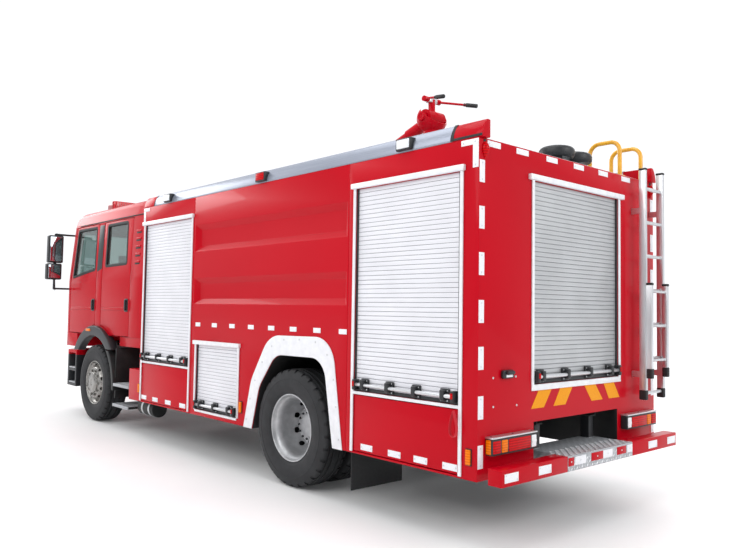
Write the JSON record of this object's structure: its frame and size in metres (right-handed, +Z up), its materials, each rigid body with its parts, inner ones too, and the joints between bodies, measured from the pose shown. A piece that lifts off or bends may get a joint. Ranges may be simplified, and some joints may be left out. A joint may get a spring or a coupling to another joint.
{
  "type": "airport fire truck",
  "caption": "Crew-cab fire tender on a two-axle truck chassis: roller-shutter lockers, pressed-side water tank, roof rails, rear ladder and a turning roof monitor.",
  "frame": {"origin": "on the ground under the middle of the truck's length and width", "axes": "+X to the front of the truck, +Y to its left, +Z up"},
  "size_m": [8.42, 2.94, 3.653],
  "materials": {
    "red_paint": "gloss",
    "white_trim": "semi-gloss",
    "silver_rail": "satin",
    "shutter_alloy": "satin",
    "bright_alloy": "brushed",
    "chequer_plate": "embossed",
    "black_paint": "satin",
    "black_plastic": "matte",
    "grey_cast": "painted",
    "yellow_paint": "gloss",
    "tyre_rubber": "matte",
    "wheel_alloy": "polished",
    "wheel_steel": "satin",
    "side_glass": "tinted",
    "clear_glass": "clear",
    "lamp_red": "gloss",
    "lamp_clear": "gloss",
    "grey_fabric": "woven",
    "rubber_sheet": "matte"
  },
  "bodies": {
    "chassis": {"arch_trims": "white_trim", "cab_steps": "black_paint", "engine": "grey_cast", "frame_rails": "black_paint", "front_axle": "black_paint", "front_bumper": "red_paint", "front_locker": "red_paint", "grab_hoops": "yellow_paint", "headlamps": "lamp_clear", "ladder": "bright_alloy", "leaf_springs": "black_paint", "lift_bars": "bright_alloy", "monitor_riser": "red_paint", "mud_flaps": "rubber_sheet", "propeller_shaft": "black_paint", "rail_ends": "red_paint", "rear_axle": "black_paint", "rear_bumper": "red_paint", "rear_lamps": "lamp_red", "rear_locker": "red_paint", "rear_step": "chequer_plate", "roller_shutters": "shutter_alloy", "roof_lamps": "black_plastic", "roof_rails": "silver_rail", "shutter_frames": "bright_alloy", "water_tank": "red_paint"},
    "knuckle_left": {"knuckle_left": "grey_cast"},
    "knuckle_right": {"knuckle_right": "grey_cast"},
    "wheel_front_left": {"tyre_front_left": "tyre_rubber", "rim_front_left": "wheel_alloy"},
    "wheel_front_right": {"tyre_front_right": "tyre_rubber", "rim_front_right": "wheel_alloy"},
    "wheels_rear_left": {"tyres_rear_left": "tyre_rubber", "rims_rear_left": "wheel_steel"},
    "wheels_rear_right": {"tyres_rear_right": "tyre_rubber", "rims_rear_right": "wheel_steel"},
    "cab": {"cab_body": "red_paint", "cab_roof": "red_paint", "windscreen": "clear_glass", "cab_benches": "grey_fabric", "dashboard": "black_plastic", "wheel_flares": "black_plastic", "mirrors": "black_plastic", "light_bar": "lamp_red", "sun_visor": "black_plastic"},
    "door_front_left": {"door_front_left": "red_paint", "glass_front_left": "side_glass"},
    "door_front_right": {"door_front_right": "red_paint", "glass_front_right": "side_glass"},
    "door_rear_left": {"door_rear_left": "red_paint", "glass_rear_left": "side_glass"},
    "door_rear_right": {"door_rear_right": "red_paint", "glass_rear_right": "side_glass"},
    "flap_front_left": {"flap_front_left": "red_paint"},
    "flap_front_right": {"flap_front_right": "red_paint"},
    "flap_rear_left": {"flap_rear_left": "red_paint"},
    "flap_rear_right": {"flap_rear_right": "red_paint"},
    "monitor_body": {"monitor_body": "red_paint"},
    "monitor_barrel": {"monitor_barrel": "red_paint"}
  },
  "joints": [
    {"name": "steer_left", "type": "hinge", "parent": "chassis", "child": "knuckle_left", "pos_m": [2.83, 0.905, 0.522], "axis": [0, 0, 1], "range_deg": [-35, 35]},
    {"name": "steer_right", "type": "hinge", "parent": "chassis", "child": "knuckle_right", "pos_m": [2.83, -0.905, 0.522], "axis": [0, 0, 1], "range_deg": [-35, 35]},
    {"name": "spin_front_left", "type": "hinge", "parent": "knuckle_left", "child": "wheel_front_left", "pos_m": [2.83, 1.022, 0.522], "axis": [0, 1, 0], "continuous": true},
    {"name": "spin_front_right", "type": "hinge", "parent": "knuckle_right", "child": "wheel_front_right", "pos_m": [2.83, -1.022, 0.522], "axis": [0, 1, 0], "continuous": true},
    {"name": "spin_rear_left", "type": "hinge", "parent": "chassis", "child": "wheels_rear_left", "pos_m": [-1.87, 0.9305, 0.522], "axis": [0, 1, 0], "continuous": true},
    {"name": "spin_rear_right", "type": "hinge", "parent": "chassis", "child": "wheels_rear_right", "pos_m": [-1.87, -0.9305, 0.522], "axis": [0, 1, 0], "continuous": true},
    {"name": "cab_tilt", "type": "hinge", "parent": "chassis", "child": "cab", "pos_m": [4.065, 0, 1.01], "axis": [0, 1, 0], "range_deg": [0, 45]},
    {"name": "open_door_front_left", "type": "hinge", "parent": "cab", "child": "door_front_left", "pos_m": [3.888, 1.118, 1.6], "axis": [0, 0, -1], "range_deg": [0, 70]},
    {"name": "open_door_front_right", "type": "hinge", "parent": "cab", "child": "door_front_right", "pos_m": [3.888, -1.118, 1.6], "axis": [0, 0, 1], "range_deg": [0, 70]},
    {"name": "open_door_rear_left", "type": "hinge", "parent": "cab", "child": "door_rear_left", "pos_m": [2.728, 1.118, 1.6], "axis": [0, 0, -1], "range_deg": [0, 70]},
    {"name": "open_door_rear_right", "type": "hinge", "parent": "cab", "child": "door_rear_right", "pos_m": [2.728, -1.118, 1.6], "axis": [0, 0, 1], "range_deg": [0, 70]},
    {"name": "drop_flap_front_left", "type": "hinge", "parent": "chassis", "child": "flap_front_left", "pos_m": [0.5495, 1.24, 0.472], "axis": [-1, 0, 0], "range_deg": [0, 90]},
    {"name": "drop_flap_front_right", "type": "hinge", "parent": "chassis", "child": "flap_front_right", "pos_m": [0.5495, -1.24, 0.472], "axis": [1, 0, 0], "range_deg": [0, 90]},
    {"name": "drop_flap_rear_left", "type": "hinge", "parent": "chassis", "child": "flap_rear_left", "pos_m": [-3.298, 1.24, 0.472], "axis": [-1, 0, 0], "range_deg": [0, 90]},
    {"name": "drop_flap_rear_right", "type": "hinge", "parent": "chassis", "child": "flap_rear_right", "pos_m": [-3.298, -1.24, 0.472], "axis": [1, 0, 0], "range_deg": [0, 90]},
    {"name": "turn_monitor", "type": "hinge", "parent": "chassis", "child": "monitor_body", "pos_m": [-2.41, 0, 3.18], "axis": [0, 0, 1], "continuous": true},
    {"name": "raise_monitor", "type": "hinge", "parent": "monitor_body", "child": "monitor_barrel", "pos_m": [-2.41, 0, 3.44], "axis": [0, -1, 0], "range_deg": [0, 70]}
  ],
  "couplings": [
    {"joint": "steer_right", "follows": "steer_left", "ratio": 1}
  ]
}
